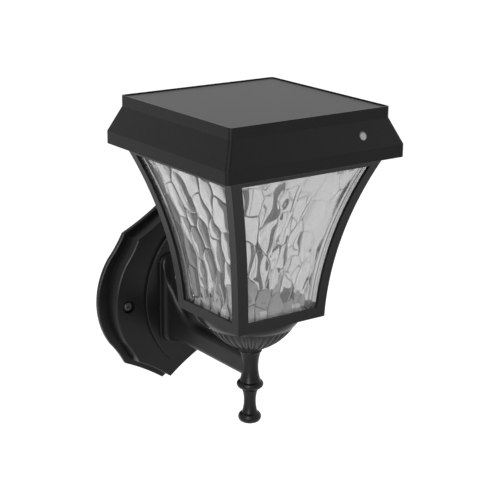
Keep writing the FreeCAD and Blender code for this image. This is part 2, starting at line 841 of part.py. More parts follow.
def pane(turn):
    """Bent pane behind one window; turn counts quarter turns from the front."""
    z_low, z_high = floor_top_z, flange_foot_z - seat_gap
    sheet = front_slab(pane_outer_inset, pane_thickness, z_low, z_high, frame_head_half)
    sheet = sheet.common(flared_prism(pane_side_inset, z_low, z_high, frame_head_half + eps))
    sheet.rotate(ORIGIN, UP, 90 * turn)
    return sheet


def pane_clip(place, z_low, z_high, foot_z):
    """Bent steel clip: a leg on the pane and a foot on the reflector or under the flange."""
    inset = pane_inner_inset + slip_gap / 2
    leg = front_slab(inset, clip_thickness, z_low, z_high, clip_width / 2)
    y_leg = -(flare_half(foot_z + clip_thickness / 2) - inset - clip_thickness / 2)
    foot = Part.makeBox(clip_width, clip_foot, clip_thickness, V(-clip_width / 2, y_leg, foot_z))
    clip = leg.fuse(foot).removeSplitter()
    clip.translate(V(place, 0, 0))
    return clip


def pane_clips():
    """Two clips at the head and two at the sill of every pane."""
    clips = []
    for side in (-1, 1):
        head = pane_clip(side * head_clip_place, flange_foot_z - clip_height, flange_foot_z,
                         flange_foot_z - clip_thickness)
        sill = pane_clip(side * sill_clip_place, reflector_top_z, reflector_top_z + clip_height,
                         reflector_top_z)
        clips += copies_round(head, 4) + copies_round(sill, 4)
    return Part.makeCompound(clips)


# ================================================================ roof cap and solar panel

slope_angle = math.degrees(math.atan2(slope_run, slope_height))
slope_wall = cap_wall * math.cos(math.radians(slope_angle))


def on_slope(shape, x, turn):
    """Moves a shape from local axes (z out of the slope, x along the eave) onto a roof slope."""
    moved = shape.copy()
    moved.rotate(ORIGIN, V(1, 0, 0), 90 - slope_angle)
    moved.translate(V(x, -(eave_half + lip_half) / 2, slope_foot_z + slope_height / 2))
    moved.rotate(ORIGIN, UP, turn)
    return moved


stations = (("sensor", sensor_x, 0), ("switch", 0.0, 180))


def station_posts():
    """Two posts behind the roof slope that carry a little board."""
    posts = []
    for side in (-1, 1):
        post = rod(station_post_radius, -station_board_depth, -slope_wall / 2, side * station_post_offset)
        bore = rod(station_screw_radius + thread_fit, -station_board_depth - eps,
                   -station_board_depth + station_screw_depth, side * station_post_offset)
        posts.append(post.cut(bore))
    return posts


def cap_outline(inset, z_low, z_high):
    """Solid between the roof's outer levels, drawn in by inset, cut off at two heights."""
    levels = [(skirt_foot_z, eave_half), (slope_foot_z, eave_half), (lip_foot_z, lip_half),
              (roof_top_z, lip_half)]
    inner = [(z, half) for z, half in levels if z_low < z < z_high]
    sections = [(z_low, levels[0][1])] + inner + [(z_high, levels[-1][1])]
    wires = [rounded_square(half - inset, cap_corner, z) for z, half in sections]
    return Part.makeLoft(wires, True, True)


def cap_shell():
    """Roof: skirt, slope, lip and the sunk deck that carries the solar panel."""
    shell = cap_outline(0, skirt_foot_z, roof_top_z)
    edges = [edge for edge in shell.Edges if edge.BoundBox.ZMin > roof_top_z - eps / 2
             or edge.BoundBox.ZMax < skirt_foot_z + eps / 2]
    shell = shell.makeFillet(cap_rim / 3, edges)
    shell = shell.cut(cap_outline(cap_wall, skirt_foot_z - eps, deck_foot_z))
    shell = shell.cut(square_plate(panel_recess_half, cap_corner - cap_rim, deck_top_z, roof_top_z + eps))
    boss = rod(boss_radius, tray_top_z, deck_top_z - cap_deck / 2, boss_place, boss_place)
    tapped = rod(cap_screw_radius + thread_fit, tray_top_z - eps, tray_top_z + cap_screw_depth + eps,
                 boss_place, boss_place)
    posts = [on_slope(post, x, turn) for name, x, turn in stations for post in station_posts()]
    shell = shell.fuse(copies_round(boss, 4) + posts)
    holes = [on_slope(rod(sensor_lens_radius + slip_gap / 2, -2 * slope_wall, eps), *stations[0][1:]),
             on_slope(rod(button_radius + button_play, -2 * slope_wall, eps), *stations[1][1:]),
             rod(lead_hole_radius, deck_foot_z - eps, deck_top_z + eps, panel_lead_x, control_y)]
    return shell.cut(copies_round(tapped, 4) + holes).removeSplitter()


def solar_glass():
    """Cover glass of the panel, just below the rim."""
    return square_plate(panel_half, cap_corner - cap_rim, glass_foot_z, glass_top_z)


def solar_cells():
    """Two rows of cells between glass and backsheet."""
    length = (2 * (panel_half - cell_margin) - (cell_columns - 1) * cell_gap) / cell_columns
    width = (2 * (panel_half - cell_margin) - (cell_rows - 1) * cell_gap) / cell_rows
    cells = []
    for column_index in range(cell_columns):
        for row_index in range(cell_rows):
            x = (column_index - (cell_columns - 1) / 2) * (length + cell_gap)
            y = (row_index - (cell_rows - 1) / 2) * (width + cell_gap)
            cells.append(block(x, y, cell_foot_z, length, width, cell_thickness))
    return Part.makeCompound(cells)


def solar_backsheet():
    """Board that carries the cells, rimmed so that the glass lies on it."""
    sheet = square_plate(panel_half, cap_corner - cap_rim, backsheet_foot_z, glass_foot_z)
    pocket = square_plate(panel_half - cell_margin + seat_gap, seat_gap, cell_foot_z, glass_foot_z + eps)
    return sheet.cut(pocket)


def panel_seal():
    """Bead of sealant between deck and panel."""
    outer = square_plate(panel_half, cap_corner - cap_rim, deck_top_z, backsheet_foot_z)
    return outer.cut(square_plate(panel_half - seal_width, cap_rim, deck_top_z - eps,
                                  backsheet_foot_z + eps))


def cap_gasket():
    """Flat gasket between the frame's flange and the tray."""
    sheet = square_plate(frame_head_half - seat_gap, cap_corner, frame_head_z, tray_foot_z)
    sheet = sheet.cut(square_plate(flange_mouth_half, cap_corner, frame_head_z - eps, tray_foot_z + eps))
    hole = rod(cap_screw_radius + hole_play, frame_head_z - eps, tray_foot_z + eps, boss_place, boss_place)
    return sheet.cut(copies_round(hole, 4))


def round_bosses(circle):
    """Small tapped bosses on top of the tray, on one circle."""
    boss = rod(light_boss_radius, tray_top_z - tray_thickness / 2, tray_top_z + light_boss_height, circle)
    return copies_round(boss, light_screw_count, light_screw_turn)


def standoff_places():
    """Corners of the control board where it is held."""
    half_length = control_length / 2 - standoff_inset
    half_width = control_width / 2 - standoff_inset
    return [(sx * half_length, control_y + sy * half_width) for sx in (-1, 1) for sy in (-1, 1)]


def cap_tray():
    """Tray that closes the roof from below and carries lamp and electronics."""
    tray = square_plate(tray_half, cap_corner, tray_foot_z, tray_top_z)
    standoffs = [rod(standoff_radius, tray_top_z - tray_thickness / 2, control_foot_z, x, y)
                 for x, y in standoff_places()]
    tray = tray.fuse(standoffs + round_bosses(board_screw_circle) + round_bosses(diffuser_screw_circle))
    cuts = [rod(station_screw_radius + thread_fit, tray_top_z - eps / 2, control_foot_z + eps, x, y)
            for x, y in standoff_places()]
    for circle in (board_screw_circle, diffuser_screw_circle):
        bore = rod(light_screw_radius + thread_fit, tray_foot_z - eps,
                   tray_top_z + light_boss_height - light_boss_roof, circle)
        cuts += copies_round(bore, light_screw_count, light_screw_turn)
    hole = rod(cap_screw_radius + hole_play, tray_foot_z - eps, tray_top_z + eps, boss_place, boss_place)
    cuts += copies_round(hole, 4)
    cuts += [rod(lead_radius + hole_play, tray_foot_z - eps, tray_top_z + eps, x, y)
             for x, y in lamp_lead_places()]
    return tray.cut(cuts).removeSplitter()


def cap_screws():
    """Four screws from under the flange up into the roof's bosses."""
    length = tray_top_z - flange_foot_z + cap_screw_depth
    piece = screw(cap_screw_radius, cap_screw_head_radius, cap_screw_head_height, length)
    piece.translate(V(boss_place, boss_place, flange_foot_z))
    return Part.makeCompound(copies_round(piece, 4))


# ================================================================ sensor and switch

def shouldered_plug(radius, rise, crown, shoulder_drop):
    """Round plug through the roof wall with a shoulder behind it."""
    back = -slope_wall - shoulder_drop
    return turned([
        line(V(0, 0, back - shoulder_thickness), V(radius + shoulder_width, 0, back - shoulder_thickness)),
        line(V(radius + shoulder_width, 0, back - shoulder_thickness), V(radius + shoulder_width, 0, back)),
        line(V(radius + shoulder_width, 0, back), V(radius, 0, back)),
        line(V(radius, 0, back), V(radius, 0, rise - crown)),
        dome(radius, rise - crown, rise),
        line(V(0, 0, rise), V(0, 0, back - shoulder_thickness)),
    ])


def sensor_lens():
    """Pale lens of the light sensor on the front slope."""
    plug = shouldered_plug(sensor_lens_radius, sensor_lens_rise, sensor_lens_crown, 0)
    return on_slope(plug, *stations[0][1:])


def station_board(station):
    """Little circuit board on its two posts."""
    length = 2 * (station_post_offset + station_post_radius + station_board_edge)
    board = block(0, 0, -station_board_depth - station_board_thickness, length, station_board_width,
                  station_board_thickness)
    for side in (-1, 1):
        board = board.cut(rod(station_screw_radius + hole_play, -2 * station_board_depth, 0,
                              side * station_post_offset))
    return on_slope(board, *station[1:])


def station_screws():
    """Screws that hold the two little boards."""
    result = []
    seat = -station_board_depth - station_board_thickness
    for name, x, turn in stations:
        for side in (-1, 1):
            piece = screw(station_screw_radius, station_screw_head_radius, station_screw_head_height,
                          station_board_thickness + station_screw_depth - thread_end_gap)
            piece.translate(V(side * station_post_offset, 0, seat))
            result.append(on_slope(piece, x, turn))
    return Part.makeCompound(result)


def sensor_eye():
    """Light sensor behind its lens."""
    top = -slope_wall - shoulder_thickness - seat_gap
    return on_slope(rod(eye_radius, -station_board_depth, top), *stations[0][1:])


def switch_body():
    """Housing of the push switch, open at the front for its plunger."""
    foot = -station_board_depth
    body = block(0, 0, foot, 2 * switch_half, 2 * switch_half, switch_height)
    bore = rod(plunger_radius + plunger_play, foot + switch_height - plunger_bore_depth,
               foot + switch_height + eps)
    return on_slope(body.cut(bore), *stations[1][1:])


def switch_plunger():
    """Plunger of the push switch; it goes down into the housing."""
    face = -station_board_depth + switch_height
    low = face - plunger_bore_depth + button_travel + seat_gap
    return on_slope(rod(plunger_radius, low, face + plunger_rise), *stations[1][1:])


def mode_button():
    """Push button on the rear slope with the stem that reaches the plunger."""
    plug = shouldered_plug(button_radius, button_rise, button_crown, seat_gap / 2)
    stem = rod(button_stem_radius, -station_board_depth + switch_height + plunger_rise,
               -slope_wall - shoulder_thickness / 2)
    return on_slope(plug.fuse(stem).removeSplitter(), *stations[1][1:])


# ================================================================ light unit

def led_board():
    """Round aluminium board under the tray."""
    board = rod(led_board_radius, tray_foot_z - led_board_thickness, tray_foot_z)
    hole = rod(light_screw_radius + hole_play, tray_foot_z - led_board_thickness - eps, tray_foot_z + eps,
               board_screw_circle)
    return board.cut(copies_round(hole, light_screw_count, light_screw_turn))


def led_chips():
    """Ring of light-emitting chips."""
    foot = tray_foot_z - led_board_thickness - led_height
    chip = block(led_circle, 0, foot, 2 * led_half, 2 * led_half, led_height)
    return Part.makeCompound(copies_round(chip, led_count))


def light_screws(circle, plate):
    """Three screws on one circle, through a plate of the given thickness into the tray."""
    piece = screw(light_screw_radius, light_screw_head_radius, light_screw_head_height,
                  plate + tray_thickness + light_boss_height - light_boss_roof - thread_end_gap)
    piece.translate(V(circle, 0, tray_foot_z - plate))
    return Part.makeCompound(copies_round(piece, light_screw_count, light_screw_turn))


def led_diffuser():
    """Opal dome over the chips, with a flange on the tray."""
    top, flange = tray_foot_z, tray_foot_z - diffuser_flange
    foot = flange - diffuser_drop
    outer, inner = diffuser_dome_radius, diffuser_dome_radius - diffuser_wall
    cover = turned([
        line(V(inner, 0, top), V(diffuser_flange_radius, 0, top)),
        line(V(diffuser_flange_radius, 0, top), V(diffuser_flange_radius, 0, flange)),
        line(V(diffuser_flange_radius, 0, flange), V(outer, 0, flange)),
        dome(outer, flange, foot),
        line(V(0, 0, foot), V(0, 0, foot + diffuser_wall)),
        dome(inner, flange, foot + diffuser_wall),
        line(V(inner, 0, flange), V(inner, 0, top)),
    ])
    hole = rod(light_screw_radius + hole_play, flange - eps, top + eps, diffuser_screw_circle)
    return cover.cut(copies_round(hole, light_screw_count, light_screw_turn))


# ================================================================ electronics

def lamp_lead_places():
    """Where the two lamp leads pass up from the light unit to the control board."""
    return [(side * lead_spacing / 2, control_y + control_width / 2 - standoff_inset) for side in (-1, 1)]


def control_board():
    """Charge and lamp controller."""
    board = block(0, control_y, control_foot_z, control_length, control_width, control_thickness)
    holes = [rod(station_screw_radius + hole_play, control_foot_z - eps, control_top_z + eps, x, y)
             for x, y in standoff_places()]
    return board.cut(holes)


def control_parts():
    """Coil, capacitor, chip and the plugs for the leads."""
    top = control_top_z
    parts = [rod(coil_radius, top, top + coil_height, coil_x, control_y + coil_y),
             rod(capacitor_radius, top, top + capacitor_height, capacitor_x, control_y + capacitor_y),
             block(chip_x, control_y + chip_y, top, chip_length, chip_width, chip_height),
             block(panel_lead_x, control_y, top, plug_length, plug_width, plug_height)]
    for side in (-1, 1):
        parts.append(block(side * battery_lead_x, battery_plug_y - plug_width / 2, top,
                           plug_width, plug_width, plug_height))
    return Part.makeCompound(parts)


def control_screws():
    """Four screws through the control board into the tray's standoffs."""
    result = []
    for x, y in standoff_places():
        piece = screw(station_screw_radius, station_screw_head_radius, station_screw_head_height,
                      control_thickness + standoff_height - thread_end_gap)
        piece.rotate(ORIGIN, V(1, 0, 0), 180)
        piece.translate(V(x, y, control_top_z))
        result.append(piece)
    return Part.makeCompound(result)


def battery_holder():
    """Open trough with two end walls."""
    length = holder_inner_length + 2 * holder_wall
    holder = block(0, battery_y, tray_top_z, length, 2 * holder_half_width, holder_height)
    trough = Part.makeCylinder(battery_radius + seat_gap, holder_inner_length,
                               V(-holder_inner_length / 2, battery_y, battery_axis_z), V(1, 0, 0))
    mouth = block(0, battery_y, battery_axis_z, holder_inner_length, 2 * (battery_radius + seat_gap),
                  holder_height)
    return holder.cut([trough, mouth])


def battery_cell():
    """Round rechargeable cell with its raised pole."""
    start = -holder_inner_length / 2 + contact_thickness
    can = Part.makeCylinder(battery_radius, battery_length - pole_height,
                            V(start + pole_height, battery_y, battery_axis_z), V(1, 0, 0))
    pole = Part.makeCylinder(pole_radius, pole_height + pole_root, V(start, battery_y, battery_axis_z),
                             V(1, 0, 0))
    return can.fuse(pole).removeSplitter()


def battery_contacts():
    """Flat contact at one end, sprung contact at the other."""
    z = battery_axis_z - contact_half
    end = holder_inner_length / 2
    flat = Part.makeBox(contact_thickness, 2 * contact_half, 2 * contact_half,
                        V(-end, battery_y - contact_half, z))
    back = Part.makeBox(contact_thickness, 2 * contact_half, 2 * contact_half,
                        V(end - contact_thickness, battery_y - contact_half, z))
    coil = Part.makeCone(spring_tip_radius, spring_radius, spring_length + contact_thickness / 2,
                         V(end - contact_thickness - spring_length, battery_y, battery_axis_z), V(1, 0, 0))
    return Part.makeCompound([flat, back.fuse(coil).removeSplitter()])


def leads():
    """Short straight leads: panel to board, lamp to board and cell to board."""
    wires = []
    for side in (-1, 1):
        wires.append(rod(lead_radius, control_top_z + plug_height, backsheet_foot_z,
                         panel_lead_x + side * lead_spacing / 2, control_y))
        length = battery_y - holder_half_width - battery_plug_y
        start = V(side * battery_lead_x, battery_plug_y, control_top_z + plug_height / 2)
        wires.append(Part.makeCylinder(lead_radius, length, start, V(0, 1, 0)))
    for x, y in lamp_lead_places():
        wires.append(rod(lead_radius, tray_foot_z, control_foot_z, x, y))
    return Part.makeCompound(wires)


# ================================================================ nodes

wall_nodes = {
    "mounting_bracket": mounting_bracket,
    "wall_plate": wall_plate,
    "plate_screws": plate_screws,
    "arm": arm,
    "arm_screws": arm_screws,
}

lantern_nodes = {
    "finial": finial,
    "fluted_bowl": fluted_bowl,
    "tie_rod": tie_rod,
    "tie_washer": tie_washer,
    "tie_nut": tie_nut,
    "lantern_frame": lantern_frame,
    "floor_reflector": floor_reflector,
    "pane_clips": pane_clips,
    "cap_gasket": cap_gasket,
    "cap_tray": cap_tray,
    "cap_shell": cap_shell,
    "cap_screws": cap_screws,
    "solar_glass": solar_glass,
    "solar_cells": solar_cells,
    "solar_backsheet": solar_backsheet,
    "panel_seal": panel_seal,
    "sensor_lens": sensor_lens,
    "sensor_eye": sensor_eye,
    "station_screws": station_screws,
    "switch_body": switch_body,
    "switch_plunger": switch_plunger,
    "mode_button": mode_button,
    "led_board": led_board,
    "led_chips": led_chips,
    "led_diffuser": led_diffuser,
    "control_board": control_board,
    "control_parts": control_parts,
    "control_screws": control_screws,
    "battery_holder": battery_holder,
    "battery_cell": battery_cell,
    "battery_contacts": battery_contacts,
    "leads": leads,
}


def build():
    """Every piece of the lantern by the name of its node."""
    nodes = {name: make() for name, make in wall_nodes.items()}
    for name, make in lantern_nodes.items():
        nodes[name] = at_lantern(make())
    for turn, side in enumerate(("front", "right", "back", "left")):
        nodes["pane_" + side] = at_lantern(pane(turn))
    for station in stations:
        nodes[station[0] + "_board"] = at_lantern(station_board(station))
    nodes["led_screws"] = at_lantern(light_screws(board_screw_circle, led_board_thickness))
    nodes["diffuser_screws"] = at_lantern(light_screws(diffuser_screw_circle, diffuser_flange))
    return nodes


os.makedirs("parts", exist_ok=True)
for node, shape in build().items():
    shape.exportStep("parts/" + node + ".step")
    print(node, len(shape.Solids), "solids", round(shape.Volume), "mm3", shape.isValid())
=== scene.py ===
import math

import bpy
import numpy as np
from mathutils import Matrix, Vector


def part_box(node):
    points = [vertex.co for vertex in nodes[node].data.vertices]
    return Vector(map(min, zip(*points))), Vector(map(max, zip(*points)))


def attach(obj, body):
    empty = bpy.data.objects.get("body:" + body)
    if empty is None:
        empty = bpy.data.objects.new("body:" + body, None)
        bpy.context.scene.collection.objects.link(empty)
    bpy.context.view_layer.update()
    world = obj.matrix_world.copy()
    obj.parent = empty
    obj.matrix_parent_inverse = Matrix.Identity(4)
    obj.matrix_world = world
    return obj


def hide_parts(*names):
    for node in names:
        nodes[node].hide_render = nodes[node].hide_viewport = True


# Looks of the solar wall lantern: satin black castings and roof, a grey glass solar panel and
# four bent panes of water glass, modelled as rippled sheets. Every other piece is the packed
# model's own solid and only gets a material.
#
# Metres, +Z up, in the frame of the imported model: the wall is y = 0, the lantern stands out
# along -Y.

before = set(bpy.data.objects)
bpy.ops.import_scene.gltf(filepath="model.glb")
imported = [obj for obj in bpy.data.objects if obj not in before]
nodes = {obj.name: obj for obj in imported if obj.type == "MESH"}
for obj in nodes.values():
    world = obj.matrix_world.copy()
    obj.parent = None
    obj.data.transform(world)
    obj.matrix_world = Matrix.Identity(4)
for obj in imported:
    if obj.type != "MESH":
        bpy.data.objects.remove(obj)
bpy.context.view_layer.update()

MM = 0.001

# ---------------------------------------------------------------- places from the frame

frame_low, frame_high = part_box("lantern_frame")
pane_low, pane_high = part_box("pane_front")
roof_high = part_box("cap_shell")[1]
plate_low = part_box("wall_plate")[0]
axis_y = (frame_low.y + frame_high.y) / 2
frame_foot, frame_head = frame_low.z, frame_high.z
middle = Vector((0, axis_y, (frame_foot + frame_head) / 2))

# ---------------------------------------------------------------- camera

camera_azimuth = math.radians(-36.25)      # to the side of the lantern's front
camera_elevation = math.radians(17.08)
camera_roll = math.radians(0.68)
camera_lens = 102.05                       # mm
camera_sensor = 36.0                       # mm
camera_place = Vector((-0.6575, -0.8944, 0.2167))   # from the middle of the roof's top

# ---------------------------------------------------------------- floor and light

floor_half = 6.0
floor_drop = 0.30                          # below the lowest piece
floor_glow = 0.55                          # added where the floor is seen, so that it reads as white
world_level = 0.5                          # of the world as light; where it is seen it is white
lamps = (                                  # name, place from the frame's middle, size, watts
    ("key", (-1.25, -0.9, 0.95), 0.6, 19.0),
    ("fill", (1.3, -1.0, 0.5), 1.0, 2.0),
    ("edge", (-1.05, -0.76, 0.15), 0.4, 9.0),
)

# ---------------------------------------------------------------- panes

foot_half = 43.6 * MM                      # half widths of the flared frame
waist_half = 52.7 * MM
pane_outer_inset = 2.7 * MM                # pane's outer face behind the frame's outer face
pane_thickness = 2.5 * MM
pane_side_inset = 5.6 * MM
pane_step = 0.44 * MM                      # grid of the rippled face
deepest = 1.9 * MM                         # of the pane's thickness

ripple_seed = 43
ripple_width = 16.5 * MM                   # usual width and height of one dome of the pattern
ripple_height = 25.0 * MM
stray_across = 0.33                        # how far a dome strays, as a share of these
stray_along = 0.3
dome_fall = 3.0 * MM                       # how far a dome has fallen one width from its middle
dome_spread = 0.9 * MM                     # difference between the highest and lowest domes
soft_crease = 0.55 * MM                    # height over which two domes flow together
crease_limit = 1.02                        # keeps the sharpest crease a little soft
sway_across = 1.0 * MM                     # how far the pattern is swayed, and over which lengths
sway_along = 1.8 * MM
sway_across_waves = (15 * MM, 24 * MM)
sway_along_waves = (20 * MM, 40 * MM)
wave_terms = 8
wave_norm = 2.4                            # brings the sum of the terms to about -1 to 1

furrow_half = 0.45 * MM                    # half width of the furrows between the domes, which are grooved and carry painted shade
furrow_depth = 0.45 * MM
painted_glint_place = 1.05 * MM                    # painted glint beside a furrow: its distance and half width
painted_glint_half = 0.40 * MM
share_change = 0.5                         # how much the share of sharp furrows wanders, and how far
share_waves = (50 * MM, 80 * MM)
lined_until = 0.12                         # of the width from the lined side, then a fade
lined_fade = 0.25

flat_margin = 12.0 * MM                    # plain strip along one side of a pane
margin_blend = 1.5 * MM
margin_lines = (12.0 * MM, 8.2 * MM)       # lines that border it: their places from the pane's side; they are grooved and carry painted shade
margin_half = 0.4 * MM                     # their half width
margin_groove = 0.25 * MM                  # their depth

# Side of the lantern, side of the pane with the plain strip, and the share of sharp furrows on
# the lined side and on the plain one.
pane_plan = (
    ("front", 1, 1.2, 0.15),
    ("right", -1, 0.6, 0.3),
    ("back", 1, 0.3, 0.0),
    ("left", -1, 0.7, 0.5),
)


def flare_circle():
    """Centre and radius, in the XZ plane, of the circle that both the frame's sides follow."""
    head_half = (frame_high.x - frame_low.x) / 2
    rise = (frame_head - frame_foot) / 2
    points = [(foot_half, 0.0), (waist_half, rise), (head_half, 2 * rise)]
    rows, sums = [], []
    for (x0, z0), (x1, z1) in zip(points, points[1:]):
        rows.append([2 * (x1 - x0), 2 * (z1 - z0)])
        sums.append(x1 ** 2 + z1 ** 2 - x0 ** 2 - z0 ** 2)
    centre_x, centre_z = np.linalg.solve(np.array(rows), np.array(sums))
    radius = math.hypot(foot_half - centre_x, centre_z)
    return centre_x, frame_foot + centre_z, radius


flare_x, flare_z, flare_radius = flare_circle()


def flare_half(z):
    """Half width of the frame at a height (a number or an array)."""
    return flare_x - np.sqrt(flare_radius ** 2 - (z - flare_z) ** 2)


# ================================================================ helpers

def add_object(name, data):
    """New object in the scene."""
    obj = bpy.data.objects.new(name, data)
    bpy.context.scene.collection.objects.link(obj)
    return obj


def mesh_object(name, points, faces):
    """Smooth object from points and faces, with sharp edges where it turns by more than 40 degrees."""
    mesh = bpy.data.meshes.new(name)
    mesh.from_pydata([tuple(p) for p in points], [], faces)
    mesh.polygons.foreach_set("use_smooth", [True] * len(faces))
    mesh.set_sharp_from_angle(angle=math.radians(40))
    return add_object(name, mesh)


def seen_rays(tree):
    """Socket that is 1 on rays that show the background, straight, through glass or in a
    reflection, and 0 on rays that only light the object."""
    path = tree.nodes.new("ShaderNodeLightPath").outputs
    seen = path["Is Camera Ray"]
    for ray in ("Is Transmission Ray", "Is Glossy Ray"):
        larger = tree.nodes.new("ShaderNodeMath")
        larger.operation = "MAXIMUM"
        tree.links.new(seen, larger.inputs[0])
        tree.links.new(path[ray], larger.inputs[1])
        seen = larger.outputs[0]
    return seen


# ================================================================ materials

class Graph:
    """Short way to write a material's nodes."""

    def __init__(self, name):
        self.material = bpy.data.materials.new(name)
        self.material.use_nodes = True
        self.tree = self.material.node_tree
        self.shader = self.tree.nodes["Principled BSDF"]

    def put(self, value, socket):
        """Links a socket or sets a plain value."""
        if isinstance(value, bpy.types.NodeSocket):
            self.tree.links.new(value, socket)
        else:
            socket.default_value = value

    def add(self, kind, inputs, **settings):
        """New node with its inputs, by name or place, and its settings."""
        node = self.tree.nodes.new(kind)
        for key, value in settings.items():
            setattr(node, key, value)
        for key, value in inputs.items():
            self.put(value, node.inputs[key])
        return node

    def set(self, **values):
        """Sets or links the shader's sockets; underscores stand for blanks."""
        for key, value in values.items():
            self.put(value, self.shader.inputs[key.replace("_", " ")])

    def coordinates(self):
        return self.add("ShaderNodeTexCoord", {}).outputs["Object"]

    def noise(self, scale, detail=2.0):
        return self.add("ShaderNodeTexNoise", {"Vector": self.coordinates(), "Scale": scale,
                                               "Detail": detail}).outputs["Fac"]

    def attribute(self, name):
        return self.add("ShaderNodeAttribute", {}, attribute_name=name).outputs["Fac"]

    def ramp(self, value, low, high, low_out, high_out):
        return self.add("ShaderNodeMapRange", {"Value": value, "From Min": low, "From Max": high,
                                               "To Min": low_out, "To Max": high_out}).outputs["Result"]

    def vary(self, noise, low_out, high_out):
        """Spreads the middle of a noise between two values."""
        return self.ramp(noise, 0.3, 0.7, low_out, high_out)

    def blend(self, factor, first, second):
        """Mixes two colours."""
        return self.add("ShaderNodeMix", {0: factor, 6: first, 7: second}, data_type="RGBA").outputs[2]

    def bump(self, height, strength, distance):
        return self.add("ShaderNodeBump", {"Height": height, "Strength": strength,
                                           "Distance": distance}).outputs["Normal"]


def grey(value):
    return (value, value, value, 1.0)


def shade(colour, factor):
    """RGBA of a colour made darker or lighter."""
    return (*[min(1.0, c * factor) for c in colour], 1.0)


def coat_material(name, value, roughness, specular, grain):
    """Satin black coat: faint orange-peel grain and small changes of gloss."""
    g = Graph(name)
    g.set(Base_Color=g.blend(g.noise(38.0, 3.0), grey(value * 0.8), grey(value * 1.25)),
          Roughness=g.vary(g.noise(90.0), roughness - 0.02, roughness + 0.02),
          Normal=g.bump(g.noise(1400.0), 0.12, grain),
          Specular_IOR_Level=specular)
    return g.material


def water_glass_material(body, furrow_and_painted_shade, clear):
    """Grey glass with painted shade along the furrows and painted glints beside them, from the panes'
    own fields.
    """
    g = Graph("water_glass")
    lines = g.attribute("furrow_and_painted_shade")
    sheet = g.blend(g.attribute("clear"), grey(body), grey(clear))
    g.set(Base_Color=g.blend(lines, sheet, grey(furrow_and_painted_shade)), Roughness=0.0, Transmission_Weight=0.97,
          IOR=1.5)
    return g.material


def panel_material():
    """Cover glass of the solar panel: dark grey, finely speckled, matt."""
    g = Graph("solar_cover")
    g.set(Base_Color=g.blend(g.noise(900.0, 3.0), grey(0.010), grey(0.032)), Roughness=0.42,
          Normal=g.bump(g.noise(1500.0), 0.2, 0.0002), Specular_IOR_Level=0.16)
    return g.material


def plain_material(name, colour, roughness, metallic=0.0, grain=0.0001):
    """Moulded or plated small part: slight mottling of colour and gloss."""
    g = Graph(name)
    g.set(Base_Color=g.blend(g.noise(220.0, 3.0), shade(colour, 0.88), shade(colour, 1.1)),
          Roughness=g.vary(g.noise(400.0), roughness * 0.85, min(1.0, roughness * 1.15)),
          Normal=g.bump(g.noise(1800.0), 0.1, grain),
          Metallic=metallic)
    return g.material


def lens_material(value, face_share, rim_value=0.02, rim_blend=0.04):
    """Pale sensor lens in a dark rim; the pale disc takes a share of its radius."""
    g = Graph("sensor_lens")
    low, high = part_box("sensor_lens")
    radius = (high.x - low.x) / 2
    away = g.add("ShaderNodeVectorMath", {0: g.coordinates(), 1: (low + high) / 2},
                 operation="DISTANCE").outputs["Value"]
    rim = g.ramp(away, (face_share - rim_blend) * radius, (face_share + rim_blend) * radius, 0.0, 1.0)
    tone = g.noise(900.0)
    face = g.blend(tone, grey(value * 0.85), grey(value * 1.15))
    g.set(Base_Color=g.blend(rim, face, grey(rim_value)), Roughness=g.vary(tone, 0.25, 0.35))
    return g.material


def dress(node, material):
    """Gives a carried-over CAD node its material."""
    mesh = nodes[node].data
    mesh.materials.clear()
    mesh.materials.append(material)


# ================================================================ panes

def ripple_seeds(draw, half, rise):
    """Middles of the domes: a jittered grid with every other column half a dome higher."""
    middles = []
    for i in range(int(2 * half / ripple_width) + 2):
        for j in range(-1, int(rise / ripple_height) + 2):
            across = i + draw.uniform(-stray_across, stray_across)
            along = j + 0.5 * (i % 2) + draw.uniform(-stray_along, stray_along)
            middles.append((-half + across * ripple_width, along * ripple_height))
    return np.array(middles)


def slow_wave(draw, across, along):
    """Smooth wandering field, about -1 to 1, with waves of the given lengths."""
    waves = [(draw.uniform(-1, 1) * 2 * math.pi / across, draw.uniform(-1, 1) * 2 * math.pi / along,
              draw.uniform(0, 2 * math.pi)) for _ in range(wave_terms)]

    def value(x, z):
        return sum(np.sin(kx * x + kz * z + phase) for kx, kz, phase in waves) / wave_norm

    return value


def ripple_relief(seed, x, z, line_share):
    """Fields over a rippled face: how far it lies below the highest domes, where the furrows run, which
    are grooved and carry painted shade, and where the painted glints beside them run. Furrows are sharp
    where the share is 1, soft where it is 0."""
    draw = np.random.default_rng(seed)
    middles = ripple_seeds(draw, frame_high.x + ripple_width, frame_head - frame_foot)
    sway_x = slow_wave(draw, *sway_across_waves)
    sway_z = slow_wave(draw, *sway_along_waves)
    strength = slow_wave(draw, *share_waves)
    highs = draw.uniform(-dome_spread, 0.0, len(middles))

    bent_x = x + sway_across * sway_x(x, z)
    bent_z = z + sway_along * sway_z(x, z)
    tops = np.stack([high - dome_fall * (((bent_x - mx) / ripple_width) ** 2
                                         + ((bent_z - mz) / ripple_height) ** 2)
                     for high, (mx, mz) in zip(highs, middles)])
    first, second = np.argpartition(-tops, 1, axis=0)[:2]
    top = np.take_along_axis(tops, first[None], 0)[0]
    below = top - np.take_along_axis(tops, second[None], 0)[0]
    apart = middles[first] - middles[second]
    apart_x, apart_z = apart[..., 0], apart[..., 1]
    slope = 2 * dome_fall * np.hypot(apart_x / ripple_width ** 2, apart_z / ripple_height ** 2)
    away = below / slope

    share = (line_share + share_change * strength(x, z)).clip(0.0, 1.0)
    soft = soft_crease * (crease_limit - share)
    top = top + (soft - below).clip(0.0) ** 2 / (4 * soft)
    # The furrow mask deepens the grooves and also darkens the glass there as painted shade.
    furrow_and_painted_shade = share * np.exp(-(away / furrow_half) ** 2)
    # Painted glint: a lighter line beside each furrow, on one side of it only.
    facing = (apart_x / np.hypot(apart_x, apart_z)).clip(0.0, 1.0)
    clear = share * facing * np.exp(-((away - painted_glint_place) / painted_glint_half) ** 2)
    return (furrow_depth * furrow_and_painted_shade - top).clip(0.0, deepest), furrow_and_painted_shade, clear


